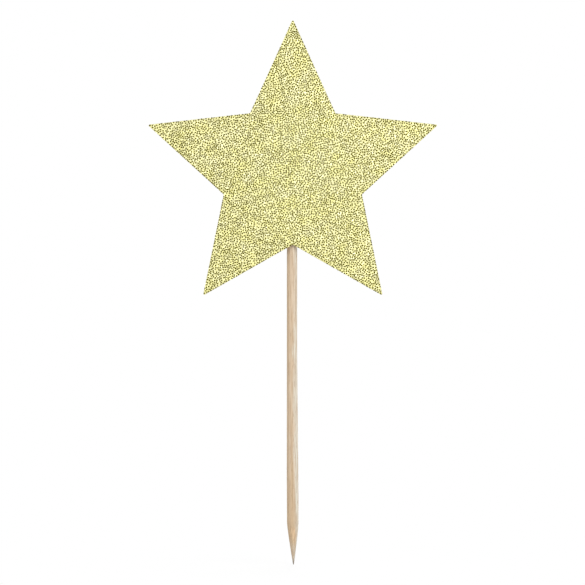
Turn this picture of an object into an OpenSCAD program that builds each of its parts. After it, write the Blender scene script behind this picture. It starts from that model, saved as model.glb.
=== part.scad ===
// Cupcake topper: a die-cut glitter star glued to the front of a pointed wooden pick.
// Millimetres, +Z up. The origin is the tip of the pick, on its axis, and the star faces -Y.

/* [Star] */
// Number of points on the star, odd so that a notch sits over the pick
star_points = 5; // [5:2:9]
// Radius of the circle through the sharp points of the die line
point_circle_r = 32.2; // [26:0.1:45]
// Radius of the circle through the sharp notches of the die line
notch_circle_r = 15.3; // [12:0.1:20]
// Rounding that the cutting rule leaves at each point
point_round = 0.2; // [0.05:0.05:0.8]
// Rounding that the cutting rule leaves in each notch
notch_round = 0.15; // [0.05:0.05:0.8]
// Thickness of the white card
card_t = 0.35; // [0.2:0.05:0.8]
// Thickness of the flakes and binder bonded to the front of the card
glitter_t = 0.15; // [0.1:0.05:0.4]

/* [Pick] */
// Length from the tip to the flat-cut top end
pick_length = 90; // [78:1:150]
// Diameter of the upper shank, which is glued to the card
shank_d = 2.2; // [1.6:0.05:3]
// Diameter of the lower shank, which goes into the cake
foot_d = 2.45; // [1.6:0.05:3]
// Length of the ground point
point_length = 8.9; // [5:0.1:13]
// Radius of the blunt end of the point
tip_r = 0.08; // [0.04:0.02:0.4]
// How full the ground point is, 1 for a straight cone
point_fullness = 1.2; // [1:0.05:1.8]
// Length of the parallel lower shank above the point
foot_length = 10; // [8:0.5:22]
// Length over which the lower shank narrows to the upper shank
narrowing_length = 25; // [5:0.5:26]
// Bevel left around the top end by the saw
end_bevel = 0.15; // [0.05:0.05:0.5]

/* [Glue] */
// Height of the pick that lies behind the star, from the bottom notch to the top end
lap_length = 22.4; // [14:0.1:32]
// Film of glue between the pick and the card
glue_film = 0.1; // [0.05:0.05:0.4]
// Width of the bead on the card
glue_width = 7; // [5:0.1:11]
// Thickness of glue over the back of the pick
glue_cover = 0.35; // [0.1:0.05:0.8]
// Height of the rounded edge of the bead, where it wets the card
glue_edge = 0.7; // [0.2:0.05:1]
// Distance that the bead keeps from the bottom notch
glue_inset = 2.4; // [1:0.1:6]
// Distance that the bead runs past the top end of the pick
glue_overrun = 3; // [1:0.1:4]

/* [Hidden] */
$fn = 64;

shank_r = shank_d / 2;
foot_r = foot_d / 2;
foot_top_z = point_length + foot_length;
shank_z = foot_top_z + narrowing_length;

notch_z = pick_length - lap_length;
star_z = notch_z + notch_circle_r;
card_back_y = -(shank_r + glue_film);
card_front_y = card_back_y - card_t;

glue_low_z = notch_z + glue_inset;
glue_high_z = pick_length + glue_overrun;
glue_crown = glue_film + shank_d + glue_cover;

// Fineness of the curves: segments per rounded corner, per ground point and over the bead
corner_steps = 6;
point_steps = 14;
bead_stations = 26;
bead_strips = 18;
// Squareness of the bead's ends seen from behind, 2 for an ellipse
bead_squareness = 4;

function unit(v) = v / norm(v);

function turned(v, a) = [v.x * cos(a) - v.y * sin(a), v.x * sin(a) + v.y * cos(a)];

// Arc of radius r that rounds the corner b between its neighbours a and c
function corner_arc(a, b, c, r) =
    let (
        to_a = unit(a - b),
        to_c = unit(c - b),
        half_angle = acos(to_a * to_c) / 2,
        centre = b + unit(to_a + to_c) * r / sin(half_angle),
        start = b + to_a * r / tan(half_angle) - centre,
        sweep = sign(cross(to_c, to_a)) * (180 - 2 * half_angle)
    )
    [for (i = [0:corner_steps]) centre + turned(start, sweep * i / corner_steps)];

// Sharp corner i of the die line: points are even and notches are odd, counted from the top
function die_corner(i) =
    let (a = 90 + i * 180 / star_points)
    (i % 2 == 0 ? point_circle_r : notch_circle_r) * [cos(a), sin(a)];

function star_outline() = [
    for (i = [0:2 * star_points - 1])
        each corner_arc(
            die_corner(i - 1 + 2 * star_points), die_corner(i), die_corner(i + 1),
            i % 2 == 0 ? point_round : notch_round
        )
];

// One layer of the star sheet, from its back face towards the front
module star_layer(back_y, thickness) {
    translate([0, back_y, star_z])
        rotate([90, 0, 0])
            linear_extrude(thickness) polygon(star_outline());
}

// Half outline of the pick, from the blunt tip up the ground point and the shank to the bevelled end
function pick_outline() = concat(
    [for (i = [0:corner_steps - 1]) let (a = 90 * i / corner_steps) tip_r * [sin(a), 1 - cos(a)]],
    [
        for (i = [0:point_steps])
            let (t = i / point_steps)
            [
                tip_r + (foot_r - tip_r) * (1 - pow(1 - t, point_fullness)),
                tip_r + (point_length - tip_r) * t
            ]
    ],
    [
        [foot_r, foot_top_z],
        [shank_r, shank_z],
        [shank_r, pick_length - end_bevel],
        [shank_r - end_bevel, pick_length],
        [0, pick_length]
    ]
);

module pick_solid() {
    rotate_extrude() polygon(pick_outline());
}

// Share of the bead's full width and height that is left at u, from -1 at its low end to 1 at its high end
function bead_share(u) = pow(1 - pow(abs(u), bead_squareness), 1 / bead_squareness);

// Height of the bead over the card at v, from -1 to 1 across it: a rounded edge with a crown over the pick
function bead_height(v) = glue_edge * sqrt(1 - v * v) + (glue_crown - glue_edge) * pow(cos(90 * v), 2);

// Stations crowd towards the ends, and strips towards the edges, where the bead turns down to the card
function bead_point(j, i) =
    let (
        u = -cos(180 * j / bead_stations),
        v = -cos(180 * i / bead_strips),
        share = bead_share(u)
    )
    [
        v * share * glue_width / 2,
        card_back_y + share * bead_height(v),
        (glue_low_z + glue_high_z) / 2 + u * (glue_high_z - glue_low_z) / 2
    ];

// Mound of glue on the back of the card, lofted through its stations to a point at each end
module bead_mound() {
    row = bead_strips + 1;
    low_end = (bead_stations - 1) * row;
    high_end = low_end + 1;
    last = bead_stations - 2;
    points = concat(
        [for (j = [1:bead_stations - 1], i = [0:bead_strips]) bead_point(j, i)],
        [bead_point(0, 0), bead_point(bead_stations, 0)]
    );
    crown_faces = [
        for (j = [0:last - 1], i = [0:bead_strips - 1])
            let (k = j * row + i)
            each [[k, k + row, k + 1], [k + 1, k + row, k + row + 1]]
    ];
    card_faces = [
        for (j = [0:last - 1])
            let (k = j * row, m = k + bead_strips)
            each [[k, m, m + row], [k, m + row, k + row]]
    ];
    low_faces = [for (i = [0:bead_strips - 1]) [low_end, i, i + 1]];
    high_faces = [for (i = [0:bead_strips - 1]) [high_end, last * row + i + 1, last * row + i]];
    end_faces = [
        [low_end, bead_strips, 0],
        [high_end, last * row, last * row + bead_strips]
    ];
    polyhedron(points, concat(crown_faces, card_faces, low_faces, high_faces, end_faces), convexity = 4);
}

module wooden_pick() {
    color("#d8bd96") pick_solid();
}

module star_card() {
    color("#f4f2ec") star_layer(card_back_y, card_t);
}

module glitter_coat() {
    color("#d6d293") star_layer(card_front_y, glitter_t);
}

module glue_bead() {
    color("#efeadb")
        difference() {
            bead_mound();
            pick_solid();
        }
}

wooden_pick();
star_card();
glitter_coat();
glue_bead();
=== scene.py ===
"""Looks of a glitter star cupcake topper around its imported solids: foil, white card, birch and glue."""

import math

import bmesh
import bpy
import numpy as np
from mathutils import Matrix, Vector, noise


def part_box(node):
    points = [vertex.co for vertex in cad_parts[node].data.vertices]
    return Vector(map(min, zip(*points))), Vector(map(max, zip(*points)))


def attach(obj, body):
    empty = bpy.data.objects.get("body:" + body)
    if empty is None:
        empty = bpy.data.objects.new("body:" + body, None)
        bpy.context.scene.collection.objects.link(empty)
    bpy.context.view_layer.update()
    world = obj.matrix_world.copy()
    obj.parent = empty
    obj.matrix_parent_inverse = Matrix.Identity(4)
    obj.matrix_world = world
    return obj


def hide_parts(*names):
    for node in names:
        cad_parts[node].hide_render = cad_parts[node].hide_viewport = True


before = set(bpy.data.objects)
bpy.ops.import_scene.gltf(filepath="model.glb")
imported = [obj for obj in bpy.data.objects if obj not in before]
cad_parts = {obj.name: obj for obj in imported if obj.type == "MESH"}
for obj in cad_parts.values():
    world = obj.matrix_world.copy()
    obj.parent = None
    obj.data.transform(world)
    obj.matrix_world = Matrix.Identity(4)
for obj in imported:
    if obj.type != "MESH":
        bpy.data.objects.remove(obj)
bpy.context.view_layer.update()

MM = 0.001
BODY = "root"
WHITE = (1.0, 1.0, 1.0, 1.0)

# Sockets that share their name with others on the same node, by index
MIX_FACTOR, MIX_A, MIX_B, MIX_COLOUR_A, MIX_COLOUR_B = 0, 2, 3, 6, 7
MIXED_VALUE, MIXED_COLOUR = 0, 2
RANDOM_VECTOR_LOW, RANDOM_VECTOR_HIGH, RANDOM_LOW, RANDOM_HIGH = 0, 1, 2, 3
RANDOM_VECTOR, RANDOM_VALUE = 0, 1

# Framing of the photograph, a straight front view: pixels, and millimetres per pixel at the star
IMAGE_PX = 585
PX_MM = 0.2107
STAR_CENTRE_PX = (292.8, 172.0)
LENS_MM = 200.0
SENSOR_MM = 36.0

# Light: square softboxes aimed at the star, with their place and side in metres and the share of white
# that each gives, and the world's fill
SOFTBOXES = {
    "key": ((0.535, -0.63, 0.48), 0.7, 0.645),
    "fill": ((-0.75, -0.45, 0.2), 0.6, 0.39),
    "rear": ((0.3, 0.8, 0.5), 0.8, 0.55),
}
WORLD_FILL = 0.48

# Glitter: hexagonal flakes punched from metallised film, each a very low cone. A fine pale bed covers
# the coat, and dark flakes, which are painted shade, lie in front of it. They stand for the flakes that
# turn away from the light or mirror something dark. The dark ones are drawn about twice as large as
# real ones, because finer ones would average out in the picture.
ARMS = 5
FLAKE_SIDES = 6
FLAKE_POINTS = FLAKE_SIDES + 1
FLAKE_DEPTH = 0.035 * MM
FLAKE_SIZES = (0.88, 1.1)
# Size of the bed against the coat's front, which keeps the flakes' centres 0.1 mm inside the cut edge
BED_SHARE = 0.992
# Stretch makes a flake longer one way and narrower the other. Tries counts the spots drawn for each
# square of the spacing, before those that lie too close are dropped: more of them fill it evenly.
PALE_LAYER = {
    "Flake Radius": 0.085 * MM,
    "Stretch": 1.0,
    "Spacing": 0.103 * MM,
    "Tries": 6.0,
    "Lift Low": 0.0,
    "Lift High": 0.03 * MM,
    "Tilt": 0.24,
    "Seed": 7,
}
# Dark flakes: painted shade, for flakes that turn away from the light or mirror something dark
PAINTED_SHADE_LAYER = {
    "Flake Radius": 0.178 * MM,
    "Stretch": 1.15,
    "Spacing": 0.388 * MM,
    "Tries": 40.0,
    "Lift Low": 0.06 * MM,
    "Lift High": 0.08 * MM,
    "Tilt": 0.02,
    "Seed": 11,
}

# Pick: how finely it is built, with closer rings on the ground point, and the relief of its fibres
# and pores
PICK_SIDES = 72
POINT_RINGS = 60
SHANK_RINGS = 300
POINT_SHARE = 0.1
FIBRE_WIDTH = 0.16 * MM
FIBRE_LENGTH = 4.0 * MM
FIBRE_RELIEF = 0.012 * MM
PORE_LENGTH = 1.6 * MM
PORE_LEVEL = 0.35
PORE_RELIEF = 0.05 * MM
# Place in the noise that the pores are read from, away from the fibres
PORE_PLACE = (9.0, 5.0)
# Bow of the pick: how far its axis lies to the right at each height
BOW_Z_MM = (0.0, 8.9, 44.0, 66.0, 90.0)
BOW_X_MM = (0.14, 0.0, -0.165, -0.155, -0.155)

# Glue: how finely the bead is built, its form, and how far its edge and crown wander, mostly inwards
BEAD_STATIONS = 72
BEAD_STRIPS = 36
BEAD_SQUARENESS = 4.0
BEAD_EDGE = 0.27
BEAD_WAVE = 5.0 * MM
EDGE_WANDER = 0.12
EDGE_BIAS = 0.3
CROWN_SWELL = 0.06
CROWN_BIAS = 0.5
# Places in the noise that the bead's two edges and its crown are read from
EDGE_PLACE = (3.0, 0.5)
CROWN_PLACE = 7.5


def srgb(code):
    """Linear red, green, blue and alpha of an sRGB hex colour."""
    shares = [int(code[i : i + 2], 16) / 255 for i in (1, 3, 5)]
    return [c / 12.92 if c <= 0.04045 else ((c + 0.055) / 1.055) ** 2.4 for c in shares] + [1.0]


def add(tree, kind, inputs=None, **settings):
    """Adds a node with its settings, and feeds its sockets, by name or index, with links or values."""
    node = tree.nodes.new(kind)
    for name, value in settings.items():
        setattr(node, name, value)
    for key, value in (inputs or {}).items():
        if isinstance(value, bpy.types.NodeSocket):
            tree.links.new(value, node.inputs[key])
        else:
            node.inputs[key].default_value = value
    return node


def set_stops(ramp, stops):
    """Sets a colour ramp's stops from pairs of place and sRGB hex colour."""
    points = ramp.color_ramp.elements
    while len(points) < len(stops):
        points.new(1.0)
    for point, (place, code) in zip(points, stops):
        point.position = place
        point.color = srgb(code)
    return ramp


def blank_material(name):
    """A new material with an empty node tree, and that tree."""
    material = bpy.data.materials.new(name)
    material.use_nodes = True
    material.node_tree.nodes.clear()
    return material, material.node_tree


def foil_flakes(name, stops):
    """Polyester film metallised and lacquered gold, cut to hexagons: each flake has its own even shade,
    and the lacquer drifts slowly over the sheet. With dark stops, the flakes are painted shade for
    flakes that turn away from the light or mirror something dark."""
    drift_mm = 2.5
    drift_share = 0.4
    material, tree = blank_material(name)
    place = add(tree, "ShaderNodeTexCoord").outputs["Object"]
    cloud = add(
        tree,
        "ShaderNodeTexNoise",
        {"Vector": place, "Scale": 1 / (drift_mm * MM), "Detail": 1.0},
    )
    drift = add(
        tree, "ShaderNodeMapRange", {"Value": cloud.outputs["Fac"], "From Min": 0.3, "From Max": 0.7}
    )
    tint = add(tree, "ShaderNodeAttribute", attribute_name="tint")
    both = add(
        tree,
        "ShaderNodeMix",
        {MIX_FACTOR: drift_share, MIX_A: tint.outputs["Fac"], MIX_B: drift.outputs["Result"]},
    )
    shade = set_stops(add(tree, "ShaderNodeValToRGB", {"Fac": both.outputs[MIXED_VALUE]}), stops)
    shader = add(
        tree,
        "ShaderNodeBsdfPrincipled",
        {"Base Color": shade.outputs["Color"], "Metallic": 1.0, "Roughness": 0.36},
    )
    add(tree, "ShaderNodeOutputMaterial", {"Surface": shader.outputs["BSDF"]})
    return material


def glitter_binder():
    """Clear binder full of foil dust, rolled on the card: a fine even sparkle between the flakes. The
    dust is drawn coarser than real dust, which is too fine to show."""
    dust_mm = 0.14
    material, tree = blank_material("glitter_binder")
    place = add(tree, "ShaderNodeTexCoord").outputs["Object"]
    dust = add(tree, "ShaderNodeTexVoronoi", {"Vector": place, "Scale": 1 / (dust_mm * MM)})
    grey = add(tree, "ShaderNodeSeparateColor", {"Color": dust.outputs["Color"]})
    shade = add(tree, "ShaderNodeValToRGB", {"Fac": grey.outputs["Red"]})
    set_stops(shade, [(0.0, "#807a34"), (0.5, "#c4be78"), (1.0, "#efeaa8")])
    facets = add(
        tree,
        "ShaderNodeBump",
        {"Height": grey.outputs["Green"], "Strength": 0.5, "Distance": 0.03 * MM},
    )
    shader = add(
        tree,
        "ShaderNodeBsdfPrincipled",
        {
            "Base Color": shade.outputs["Color"],
            "Metallic": 0.8,
            "Roughness": 0.4,
            "Normal": facets.outputs["Normal"],
        },
    )
    add(tree, "ShaderNodeOutputMaterial", {"Surface": shader.outputs["BSDF"]})
    return material


def uncoated_card():
    """White uncoated card, calendered: matt, with a faint cloudy formation and short paper fibres. The
    fibres are drawn coarser than real ones, which are too fine to show."""
    cloud_mm = 1.2
    fibre_mm = 0.12
    material, tree = blank_material("uncoated_white_card")
    place = add(tree, "ShaderNodeTexCoord").outputs["Object"]
    cloud = add(
        tree,
        "ShaderNodeTexNoise",
        {"Vector": place, "Scale": 1 / (cloud_mm * MM), "Detail": 4.0},
    )
    shade = add(tree, "ShaderNodeValToRGB", {"Fac": cloud.outputs["Fac"]})
    set_stops(shade, [(0.3, "#f1efe9"), (0.7, "#f7f5f0")])
    fibre = add(
        tree,
        "ShaderNodeTexNoise",
        {"Vector": place, "Scale": 1 / (fibre_mm * MM), "Detail": 3.0, "Distortion": 1.5},
    )
    relief = add(
        tree,
        "ShaderNodeBump",
        {"Height": fibre.outputs["Fac"], "Strength": 0.35, "Distance": 0.02 * MM},
    )
    shader = add(
        tree,
        "ShaderNodeBsdfPrincipled",
        {"Base Color": shade.outputs["Color"], "Roughness": 0.85, "Normal": relief.outputs["Normal"]},
    )
    add(tree, "ShaderNodeOutputMaterial", {"Surface": shader.outputs["BSDF"]})
    return material


def turned_birch():
    """Birch turned to a rod and ground to a point: silky and pale, with fine streaks along the grain,
    growth rings that show as arches on the point, paler sapwood down one side that is partly a painted
    sheen from the light on that side, fresher wood on the point and a dark grey tip. The flecks of its
    pores are drawn wider than real ones, which are too fine to show."""
    grain_mm = {
        "band": (0.9, 0.9, 40.0),
        "ring": (2.5, 0.3, 25.0),
        "streak": (0.26, 0.26, 5.0),
        "fleck": (0.15, 0.15, 1.6),
        "drift": (1.5, 1.5, 7.0),
    }
    sway_mm = 1.2
    # Tone, share, and the spans over which it comes in, from none to full in mm along an axis:
    # sapwood (partly a painted sheen from the light on the right), lower shank, middle of the point, end
    # of the point and tip
    zones = [
        # Paler sapwood down the right side, partly a painted sheen from the light on that side
        ("#f5efde", 0.92, [("X", -0.15, 0.65)]),
        ("#d9bb93", 0.6, [("Z", 26.0, 10.0), ("X", 0.75, 0.3)]),
        ("#fddab0", 0.9, [("Z", 8.3, 6.9), ("X", -0.8, -0.2), ("X", 0.8, 0.3)]),
        ("#d0c8b9", 0.8, [("Z", 6.6, 2.0)]),
        ("#6c6e6c", 0.85, [("Z", 1.6, 0.3)]),
    ]
    # Grain, level at which it starts to mark the wood and is full, tone and share
    marks = [
        ("ring", 0.55, 0.4, "#d0b084", 0.4),
        ("streak", 0.6, 0.35, "#c7a782", 0.65),
        ("fleck", 0.62, 0.7, "#a98963", 0.65),
    ]
    material, tree = blank_material("turned_birch")
    place = add(tree, "ShaderNodeTexCoord").outputs["Object"]
    grain = {}
    for name, size_mm in grain_mm.items():
        stretched = add(
            tree, "ShaderNodeMapping", {"Vector": place, "Scale": [1 / (size * MM) for size in size_mm]}
        )
        grain[name] = add(
            tree,
            "ShaderNodeTexNoise",
            {"Vector": stretched.outputs["Vector"], "Scale": 1.0, "Detail": 2.0},
        ).outputs["Fac"]

    drift = add(
        tree,
        "ShaderNodeMapRange",
        {"Value": grain["drift"], "To Min": -sway_mm * MM, "To Max": sway_mm * MM},
    )
    swayed = add(tree, "ShaderNodeVectorMath", {0: place, 1: drift.outputs["Result"]}, operation="ADD")
    along = add(tree, "ShaderNodeSeparateXYZ", {"Vector": swayed.outputs["Vector"]})
    band = add(tree, "ShaderNodeValToRGB", {"Fac": grain["band"]})
    set_stops(band, [(0.3, "#e1c5a4"), (0.5, "#ead2b4"), (0.7, "#f0dcc3")])
    layers = []
    for tone, weight, spans in zones:
        for axis, start, full in spans:
            rise = add(
                tree,
                "ShaderNodeMapRange",
                {"Value": along.outputs[axis], "From Min": start * MM, "From Max": full * MM},
                interpolation_type="SMOOTHSTEP",
            )
            both = add(
                tree, "ShaderNodeMath", {0: rise.outputs["Result"], 1: weight}, operation="MULTIPLY"
            )
            weight = both.outputs["Value"]
        layers.append((tone, weight))
    for name, start, full, tone, share in marks:
        mark = add(
            tree,
            "ShaderNodeMapRange",
            {"Value": grain[name], "From Min": start, "From Max": full, "To Max": share},
        )
        layers.append((tone, mark.outputs["Result"]))
    colour = band.outputs["Color"]
    for tone, weight in layers:
        mixed = add(
            tree,
            "ShaderNodeMix",
            {MIX_FACTOR: weight, MIX_COLOUR_A: colour, MIX_COLOUR_B: srgb(tone)},
            data_type="RGBA",
        )
        colour = mixed.outputs[MIXED_COLOUR]
    relief = add(
        tree,
        "ShaderNodeBump",
        {"Height": grain["streak"], "Strength": 0.5, "Distance": 0.02 * MM},
    )
    shader = add(
        tree,
        "ShaderNodeBsdfPrincipled",
        {"Base Color": colour, "Roughness": 0.5, "Normal": relief.outputs["Normal"]},
    )
    add(tree, "ShaderNodeOutputMaterial", {"Surface": shader.outputs["BSDF"]})
    return material


def hot_melt_glue():
    """Set hot-melt adhesive, laid as a bead: milky, glossy and a little uneven, with the pick showing
    through."""
    cloud_mm = 3.0
    dimple_mm = 1.6
    # Spans over which the pick comes to show, from none to full: away from its axis, and below its end
    pick_half_mm = (1.6, 0.4)
    pick_end_mm = (90.8, 89.2)
    show_through = 0.7
    material, tree = blank_material("hot_melt_glue")
    place = add(tree, "ShaderNodeTexCoord").outputs["Object"]
    cloud = add(
        tree,
        "ShaderNodeTexNoise",
        {"Vector": place, "Scale": 1 / (cloud_mm * MM), "Detail": 2.0},
    )
    shade = add(tree, "ShaderNodeValToRGB", {"Fac": cloud.outputs["Fac"]})
    set_stops(shade, [(0.3, "#ebe5d8"), (0.7, "#f4f1e9")])
    axis_x = BOW_X_MM[-1] * MM
    along = add(tree, "ShaderNodeSeparateXYZ", {"Vector": place})
    aside = add(tree, "ShaderNodeMath", {0: along.outputs["X"], 1: axis_x}, operation="SUBTRACT")
    away = add(tree, "ShaderNodeMath", {0: aside.outputs["Value"]}, operation="ABSOLUTE")
    spans = [(away.outputs["Value"], *pick_half_mm), (along.outputs["Z"], *pick_end_mm)]
    behind = []
    for distance, start, full in spans:
        reach = add(
            tree,
            "ShaderNodeMapRange",
            {"Value": distance, "From Min": start * MM, "From Max": full * MM, "To Max": show_through},
            interpolation_type="SMOOTHSTEP",
        )
        behind.append(reach.outputs["Result"])
    shown = add(tree, "ShaderNodeMath", {0: behind[0], 1: behind[1]}, operation="MULTIPLY")
    colour = add(
        tree,
        "ShaderNodeMix",
        {
            MIX_FACTOR: shown.outputs["Value"],
            MIX_COLOUR_A: shade.outputs["Color"],
            MIX_COLOUR_B: srgb("#dcc7a6"),
        },
        data_type="RGBA",
    )
    dimple = add(
        tree,
        "ShaderNodeTexNoise",
        {"Vector": place, "Scale": 1 / (dimple_mm * MM), "Detail": 1.0},
    )
    relief = add(
        tree,
        "ShaderNodeBump",
        {"Height": dimple.outputs["Fac"], "Strength": 0.3, "Distance": 0.1 * MM},
    )
    shader = add(
        tree,
        "ShaderNodeBsdfPrincipled",
        {
            "Base Color": colour.outputs[MIXED_COLOUR],
            "Roughness": 0.2,
            "IOR": 1.48,
            "Subsurface Weight": 0.4,
            "Subsurface Radius": (1.0, 0.8, 0.5),
            "Subsurface Scale": 0.6 * MM,
            "Normal": relief.outputs["Normal"],
        },
    )
    add(tree, "ShaderNodeOutputMaterial", {"Surface": shader.outputs["BSDF"]})
    return material


def seen_rays(tree):
    """1 for camera, glossy and transmission rays, which see the backdrop, and 0 for the light that it
    sheds."""
    path = add(tree, "ShaderNodeLightPath")
    mirrored = add(
        tree,
        "ShaderNodeMath",
        {0: path.outputs["Is Glossy Ray"], 1: path.outputs["Is Transmission Ray"]},
        operation="MAXIMUM",
    )
    return add(
        tree,
        "ShaderNodeMath",
        {0: path.outputs["Is Camera Ray"], 1: mirrored.outputs["Value"]},
        operation="MAXIMUM",
    ).outputs["Value"]


def studio_world(fill):
    """White sweep behind and around the object, which sheds a softer fill on it."""
    world = bpy.data.worlds.new("white_studio")
    world.use_nodes = True
    tree = world.node_tree
    tree.nodes.clear()
    shed = add(tree, "ShaderNodeBackground", {"Color": WHITE, "Strength": fill})
    seen = add(tree, "ShaderNodeBackground", {"Color": WHITE, "Strength": 1.0})
    both = add(
        tree,
        "ShaderNodeMixShader",
        {0: seen_rays(tree), 1: shed.outputs["Background"], 2: seen.outputs["Background"]},
    )
    add(tree, "ShaderNodeOutputWorld", {"Surface": both.outputs["Shader"]})
    bpy.context.scene.world = world


def studio_floor(reach, glow, fade):
    """White floor, which keeps a share of the object's shadow near the tip and fades to plain white
    around it, over the distance fade. On the object it sheds only the soft light of a grey one."""
    material, tree = blank_material("white_floor")
    place = add(tree, "ShaderNodeTexCoord").outputs["Object"]
    away = add(tree, "ShaderNodeVectorMath", {0: place}, operation="LENGTH")
    glowing = add(
        tree,
        "ShaderNodeMapRange",
        {"Value": away.outputs["Value"], "From Max": fade, "To Min": glow},
        interpolation_type="SMOOTHSTEP",
    )
    seen = seen_rays(tree)
    tone = add(
        tree,
        "ShaderNodeMix",
        {MIX_FACTOR: seen, MIX_COLOUR_A: srgb("#909090"), MIX_COLOUR_B: srgb("#f8f8f8")},
        data_type="RGBA",
    )
    matt = add(
        tree, "ShaderNodeBsdfPrincipled", {"Base Color": tone.outputs[MIXED_COLOUR], "Roughness": 0.9}
    )
    white = add(tree, "ShaderNodeEmission", {"Color": WHITE, "Strength": 1.0})
    share = add(tree, "ShaderNodeMath", {0: seen, 1: glowing.outputs["Result"]}, operation="MULTIPLY")
    both = add(
        tree,
        "ShaderNodeMixShader",
        {0: share.outputs["Value"], 1: matt.outputs["BSDF"], 2: white.outputs["Emission"]},
    )
    add(tree, "ShaderNodeOutputMaterial", {"Surface": both.outputs["Shader"]})
    corners = [(-reach, -reach, 0), (reach, -reach, 0), (reach, reach, 0), (-reach, reach, 0)]
    floor = new_piece("floor", corners, [(0, 1, 2, 3)], material)


def softbox(name, place, aim, side, share):
    """Square soft lamp that alone would light a white card, held at aim and facing it, to that share
    of white."""
    lamp = bpy.data.lights.new(name, "AREA")
    lamp.size = side
    way = aim - place
    lamp.energy = math.pi**2 * share * way.length_squared
    holder = bpy.data.objects.new(name, lamp)
    holder.location = place
    holder.rotation_euler = way.to_track_quat("-Z", "Y").to_euler()
    bpy.context.scene.collection.objects.link(holder)


def straight_camera(star_centre):
    """Long lens, level with the middle of the picture, that puts the star where the photo has it."""
    across = IMAGE_PX * PX_MM * MM
    middle = IMAGE_PX / 2
    data = bpy.data.cameras.new("camera")
    data.lens = LENS_MM
    data.sensor_width = SENSOR_MM
    camera = bpy.data.objects.new("camera", data)
    camera.location = (
        star_centre.x + (middle - STAR_CENTRE_PX[0]) * PX_MM * MM,
        star_centre.y - across * LENS_MM / SENSOR_MM,
        star_centre.z - (middle - STAR_CENTRE_PX[1]) * PX_MM * MM,
    )
    camera.rotation_euler = (math.pi / 2, 0, 0)
    bpy.context.scene.collection.objects.link(camera)
    bpy.context.scene.camera = camera


def new_piece(name, points, faces, material):
    """Object with a mesh of these points and faces, placed at the origin."""
    mesh = bpy.data.meshes.new(name)
    mesh.from_pydata(points, [], faces)
    mesh.materials.append(material)
    piece = bpy.data.objects.new(name, mesh)
    bpy.context.scene.collection.objects.link(piece)
    return piece


def outward(piece):
    """Turns a closed piece's faces outwards and shades it smooth."""
    shell = bmesh.new()
    shell.from_mesh(piece.data)
    bmesh.ops.recalc_face_normals(shell, faces=shell.faces)
    shell.to_mesh(piece.data)
    shell.free()
    piece.data.shade_smooth()
    return piece


def dress(node, material):
    """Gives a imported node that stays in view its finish."""
    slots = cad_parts[node].data.materials
    slots.clear()
    slots.append(material)


def front_face(node):
    """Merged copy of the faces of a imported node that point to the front."""
    front_limit = -0.5
    merge = 0.001 * MM
    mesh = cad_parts[node].data.copy()
    mesh.name = "flake_bed"
    sheet = bmesh.new()
    sheet.from_mesh(mesh)
    hidden = [face for face in sheet.faces if face.normal.y > front_limit]
    bmesh.ops.delete(sheet, geom=hidden, context="FACES")
    bmesh.ops.remove_doubles(sheet, verts=sheet.verts, dist=merge)
    sheet.to_mesh(mesh)
    sheet.free()
    return mesh


def sheet_centre(mesh):
    """Centre of a flat sheet's area."""
    area = sum(face.area for face in mesh.polygons)
    return sum((face.center * face.area for face in mesh.polygons), Vector()) / area


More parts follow.
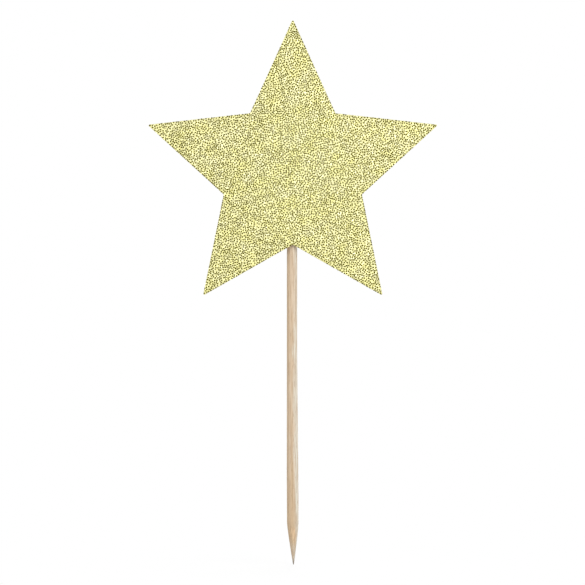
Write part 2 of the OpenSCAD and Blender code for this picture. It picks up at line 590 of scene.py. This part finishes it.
def scatter_tree():
    """Scatters flakes over a flat sheet, tilted and turned at random, and keeps those on one arm."""
    tree = bpy.data.node_groups.new("glitter_scatter", "GeometryNodeTree")
    sockets = {
        "Sheet": "NodeSocketGeometry",
        "Flake Radius": "NodeSocketFloat",
        "Flake Depth": "NodeSocketFloat",
        "Stretch": "NodeSocketFloat",
        "Spacing": "NodeSocketFloat",
        "Tries": "NodeSocketFloat",
        "Tilt": "NodeSocketFloat",
        "Lift Low": "NodeSocketFloat",
        "Lift High": "NodeSocketFloat",
        "Seed": "NodeSocketInt",
        "Centre": "NodeSocketVector",
        "Arm Turn": "NodeSocketFloat",
        "Arm Half Angle": "NodeSocketFloat",
        "Material": "NodeSocketMaterial",
    }
    for name, kind in sockets.items():
        tree.interface.new_socket(name=name, in_out="INPUT", socket_type=kind)
    tree.interface.new_socket(name="Flakes", in_out="OUTPUT", socket_type="NodeSocketGeometry")
    given = add(tree, "NodeGroupInput").outputs

    # Spots over the whole sheet, of which those on the other arms are dropped
    square = add(
        tree, "ShaderNodeMath", {0: given["Spacing"], 1: given["Spacing"]}, operation="MULTIPLY"
    )
    density = add(
        tree, "ShaderNodeMath", {0: given["Tries"], 1: square.outputs["Value"]}, operation="DIVIDE"
    )
    spots = add(
        tree,
        "GeometryNodeDistributePointsOnFaces",
        {
            "Mesh": given["Sheet"],
            "Distance Min": given["Spacing"],
            "Density Max": density.outputs["Value"],
            "Seed": given["Seed"],
        },
        distribute_method="POISSON",
    )
    here = add(tree, "GeometryNodeInputPosition").outputs["Position"]
    from_centre = add(
        tree, "ShaderNodeVectorMath", {0: here, 1: given["Centre"]}, operation="SUBTRACT"
    )
    upright = add(
        tree,
        "ShaderNodeVectorRotate",
        {"Vector": from_centre.outputs["Vector"], "Angle": given["Arm Turn"]},
        rotation_type="Y_AXIS",
    )
    along = add(tree, "ShaderNodeSeparateXYZ", {"Vector": upright.outputs["Vector"]})
    bearing = add(
        tree, "ShaderNodeMath", {0: along.outputs["X"], 1: along.outputs["Z"]}, operation="ARCTAN2"
    )
    swing = add(tree, "ShaderNodeMath", {0: bearing.outputs["Value"]}, operation="ABSOLUTE")
    other_arm = add(
        tree,
        "FunctionNodeCompare",
        {0: swing.outputs["Value"], 1: given["Arm Half Angle"]},
        operation="GREATER_THAN",
    )
    kept = add(
        tree,
        "GeometryNodeDeleteGeometry",
        {"Geometry": spots.outputs["Points"], "Selection": other_arm.outputs[0]},
    )

    # A flake on each spot, with its base to the front, leaning by up to the tilt and turned at random
    back = add(tree, "ShaderNodeMath", {0: given["Tilt"], 1: -1.0}, operation="MULTIPLY")
    low = back.outputs["Value"]
    lean_low = add(tree, "ShaderNodeCombineXYZ", {"X": low, "Y": 1.0, "Z": low})
    lean_high = add(tree, "ShaderNodeCombineXYZ", {"X": given["Tilt"], "Y": 1.0, "Z": given["Tilt"]})
    lean = add(
        tree,
        "FunctionNodeRandomValue",
        {
            RANDOM_VECTOR_LOW: lean_low.outputs["Vector"],
            RANDOM_VECTOR_HIGH: lean_high.outputs["Vector"],
            "Seed": 1,
        },
        data_type="FLOAT_VECTOR",
    )
    tilted = add(
        tree, "FunctionNodeAlignRotationToVector", {"Vector": lean.outputs[RANDOM_VECTOR]}, axis="Z"
    )
    spin = add(tree, "FunctionNodeRandomValue", {RANDOM_LOW: 0.0, RANDOM_HIGH: math.tau, "Seed": 2})
    spun = add(
        tree,
        "FunctionNodeAxisAngleToRotation",
        {"Axis": (0, 0, 1), "Angle": spin.outputs[RANDOM_VALUE]},
    )
    turned = add(
        tree,
        "FunctionNodeRotateRotation",
        {0: tilted.outputs["Rotation"], 1: spun.outputs["Rotation"]},
        rotation_space="LOCAL",
    )
    flake = add(
        tree,
        "GeometryNodeMeshCone",
        {
            "Vertices": FLAKE_SIDES,
            "Side Segments": 1,
            "Radius Top": 0.0,
            "Radius Bottom": given["Flake Radius"],
            "Depth": given["Flake Depth"],
        },
        fill_type="NGON",
    )
    smallest, largest = FLAKE_SIZES
    size = add(
        tree, "FunctionNodeRandomValue", {RANDOM_LOW: smallest, RANDOM_HIGH: largest, "Seed": 3}
    ).outputs[RANDOM_VALUE]
    long = add(tree, "ShaderNodeMath", {0: size, 1: given["Stretch"]}, operation="MULTIPLY")
    wide = add(tree, "ShaderNodeMath", {0: size, 1: given["Stretch"]}, operation="DIVIDE")
    shape = add(
        tree,
        "ShaderNodeCombineXYZ",
        {"X": long.outputs["Value"], "Y": wide.outputs["Value"], "Z": size},
    )
    laid = add(
        tree,
        "GeometryNodeInstanceOnPoints",
        {
            "Points": kept.outputs["Geometry"],
            "Instance": flake.outputs["Mesh"],
            "Rotation": turned.outputs["Rotation"],
            "Scale": shape.outputs["Vector"],
        },
    )

    # Each flake stands a little proud of the sheet and carries its own shade
    lift = add(
        tree,
        "FunctionNodeRandomValue",
        {RANDOM_LOW: given["Lift Low"], RANDOM_HIGH: given["Lift High"], "Seed": 4},
    )
    forward = add(
        tree, "ShaderNodeMath", {0: lift.outputs[RANDOM_VALUE], 1: -1.0}, operation="MULTIPLY"
    )
    step = add(tree, "ShaderNodeCombineXYZ", {"Y": forward.outputs["Value"]})
    raised = add(
        tree,
        "GeometryNodeTranslateInstances",
        {
            "Instances": laid.outputs["Instances"],
            "Translation": step.outputs["Vector"],
            "Local Space": False,
        },
    )
    shade = add(tree, "FunctionNodeRandomValue", {RANDOM_LOW: 0.0, RANDOM_HIGH: 1.0, "Seed": 5})
    tinted = add(
        tree,
        "GeometryNodeStoreNamedAttribute",
        {
            "Geometry": raised.outputs["Instances"],
            "Name": "tint",
            "Value": shade.outputs[RANDOM_VALUE],
        },
        data_type="FLOAT",
        domain="INSTANCE",
    )
    real = add(tree, "GeometryNodeRealizeInstances", {"Geometry": tinted.outputs["Geometry"]})
    flat = add(
        tree,
        "GeometryNodeSetShadeSmooth",
        {"Geometry": real.outputs["Geometry"], "Shade Smooth": False},
    )
    finished = add(
        tree,
        "GeometryNodeSetMaterial",
        {"Geometry": flat.outputs["Geometry"], "Material": given["Material"]},
    )
    add(tree, "NodeGroupOutput", {"Flakes": finished.outputs["Geometry"]})
    return tree


def own_cells(mesh, points):
    """Maps every flake of so many points to a cell of its own, so that each keeps its own colour when
    it is baked."""
    reach = 0.4
    cells = math.ceil(math.sqrt(len(mesh.vertices) / points))
    corner = np.zeros(len(mesh.loops), dtype=int)
    mesh.loops.foreach_get("vertex_index", corner)
    flake, turn = np.divmod(corner, points)
    angle = turn * math.tau / points
    u = (flake % cells + 0.5 + reach * np.cos(angle)) / cells
    v = (flake // cells + 0.5 + reach * np.sin(angle)) / cells
    mesh.uv_layers.new(name="OFBake").uv.foreach_set("vector", np.stack([u, v], axis=1).ravel())


def glitter_arm(kind, index, bed, tree, centre, layer, material):
    """One layer of flakes on one arm of the star, as a plain mesh."""
    name = f"{kind}_{index + 1}"
    piece = bpy.data.objects.new(name, bed.copy())
    bpy.context.scene.collection.objects.link(piece)
    modifier = piece.modifiers.new("scatter", "NODES")
    modifier.node_group = tree
    values = {
        **layer,
        "Flake Depth": FLAKE_DEPTH,
        "Centre": centre,
        "Arm Turn": index * math.tau / ARMS,
        "Arm Half Angle": math.pi / ARMS,
        "Material": material,
    }
    for socket in tree.interface.items_tree:
        if socket.name in values:
            modifier[socket.identifier] = values[socket.name]
    seen = piece.evaluated_get(bpy.context.evaluated_depsgraph_get())
    mesh = bpy.data.meshes.new_from_object(seen)
    piece.modifiers.remove(modifier)
    piece.data = mesh
    mesh.name = name
    own_cells(mesh, FLAKE_POINTS)
    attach(piece, BODY)


def pick_radius():
    """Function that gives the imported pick's radius at a height."""
    corners = np.array([v.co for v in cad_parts["wooden_pick"].data.vertices])
    heights = corners[:, 2].round(7)
    radii = np.hypot(corners[:, 0], corners[:, 1])
    levels = np.unique(heights)
    widest = [radii[heights == level].max() for level in levels]
    return lambda z: float(np.interp(z, levels, widest))


def birch_pick(material):
    """The pick with the fibres, pores and slight bow of turned wood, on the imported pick's profile."""
    low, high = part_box("wooden_pick")
    radius = pick_radius()
    length = high.z - low.z
    point_top = POINT_SHARE * length
    heights = np.concatenate(
        [
            np.linspace(0.0, point_top, POINT_RINGS, endpoint=False)[1:],
            np.linspace(point_top, length, SHANK_RINGS),
        ]
    )
    turns = [math.tau * i / PICK_SIDES for i in range(PICK_SIDES)]

    def axis_x(z):
        return float(np.interp(z / MM, BOW_Z_MM, BOW_X_MM)) * MM

    def skin(z, turn):
        r = radius(z)
        around = Vector((math.cos(turn), math.sin(turn), 0)) * r / FIBRE_WIDTH
        fibre = noise.noise(around + Vector((0, 0, z / FIBRE_LENGTH)))
        pore = noise.noise(around + Vector((*PORE_PLACE, z / PORE_LENGTH))) - PORE_LEVEL
        full = min(1.0, r / high.x)
        r += full * (FIBRE_RELIEF * fibre - PORE_RELIEF * max(0.0, pore))
        return (r * math.cos(turn) + axis_x(z), r * math.sin(turn), z)

    points = [skin(z, turn) for z in heights for turn in turns]
    tip = len(points)
    points += [(axis_x(0.0), 0, 0), (axis_x(length), 0, length)]
    last = tip - PICK_SIDES
    faces = []
    for i in range(PICK_SIDES):
        j = (i + 1) % PICK_SIDES
        for ring in range(0, last, PICK_SIDES):
            above = ring + PICK_SIDES
            faces.append((ring + i, ring + j, above + j, above + i))
        faces += [(tip, j, i), (last + i, last + j, tip + 1)]
    piece = outward(new_piece("birch_pick", points, faces, material))
    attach(piece, BODY)
    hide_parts("wooden_pick")


def glue_mound(material):
    """The glue as it set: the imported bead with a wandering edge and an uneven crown."""
    low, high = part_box("glue_bead")
    half_width = (high.x - low.x) / 2
    crown = high.y - low.y
    half_length = (high.z - low.z) / 2
    middle = (high.z + low.z) / 2
    edge_x, edge_y = EDGE_PLACE

    def skin(j, i):
        u = -math.cos(math.pi * j / BEAD_STATIONS)
        v = -math.cos(math.pi * i / BEAD_STRIPS)
        share = (1 - abs(u) ** BEAD_SQUARENESS) ** (1 / BEAD_SQUARENESS)
        z = middle + u * half_length
        edge = Vector((math.copysign(edge_x, v), edge_y, z / BEAD_WAVE))
        wander = noise.noise(edge) - EDGE_BIAS
        swell = noise.noise(Vector((v, CROWN_PLACE, z / BEAD_WAVE))) - CROWN_BIAS
        across = v * share * half_width * (1 + EDGE_WANDER * wander * abs(v))
        height = BEAD_EDGE * math.sqrt(1 - v * v) + (1 - BEAD_EDGE) * math.cos(math.pi / 2 * v) ** 2
        return (across, low.y + share * crown * height * (1 + CROWN_SWELL * swell), z)

    row = BEAD_STRIPS + 1
    points = [skin(j, i) for j in range(1, BEAD_STATIONS) for i in range(row)]
    ends = len(points)
    points += [(0, low.y, low.z), (0, low.y, high.z)]
    last = ends - row
    faces = []
    for k in range(0, last, row):
        faces += [(k + i, k + row + i, k + row + i + 1, k + i + 1) for i in range(BEAD_STRIPS)]
        faces.append((k, k + BEAD_STRIPS, k + row + BEAD_STRIPS, k + row))
    for i in range(BEAD_STRIPS):
        faces += [(ends, i, i + 1), (ends + 1, last + i + 1, last + i)]
    faces += [(ends, BEAD_STRIPS, 0), (ends + 1, last, last + BEAD_STRIPS)]
    piece = outward(new_piece("glue_mound", points, faces, material))
    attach(piece, BODY)
    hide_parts("glue_bead")


bed = front_face("glitter_coat")
star_centre = sheet_centre(bed)
straight_camera(star_centre)
to_centre = Matrix.Translation(star_centre)
bed.transform(to_centre @ Matrix.Scale(BED_SHARE, 4) @ to_centre.inverted())

dress("glitter_coat", glitter_binder())
dress("star_card", uncoated_card())
scatter = scatter_tree()
pale_foil = foil_flakes("pale_gold_foil", [(0.0, "#fdf79e"), (1.0, "#fefbd0")])
# Dark foil: painted shade, the colour of flakes that turn away from the light or mirror something dark
painted_shade_foil = foil_flakes("painted_shade_gold_foil", [(0.0, "#524c00"), (1.0, "#6a6400")])
for arm in range(ARMS):
    glitter_arm("pale_flakes", arm, bed, scatter, star_centre, PALE_LAYER, pale_foil)
    glitter_arm("painted_shade_flakes", arm, bed, scatter, star_centre, PAINTED_SHADE_LAYER, painted_shade_foil)
birch_pick(turned_birch())
glue_mound(hot_melt_glue())

studio_world(WORLD_FILL)
studio_floor(reach=3.0, glow=0.78, fade=0.05)
for name, (place, side, share) in SOFTBOXES.items():
    softbox(name, Vector(place), star_centre, side, share)
bpy.context.scene.view_settings.view_transform = "Standard"
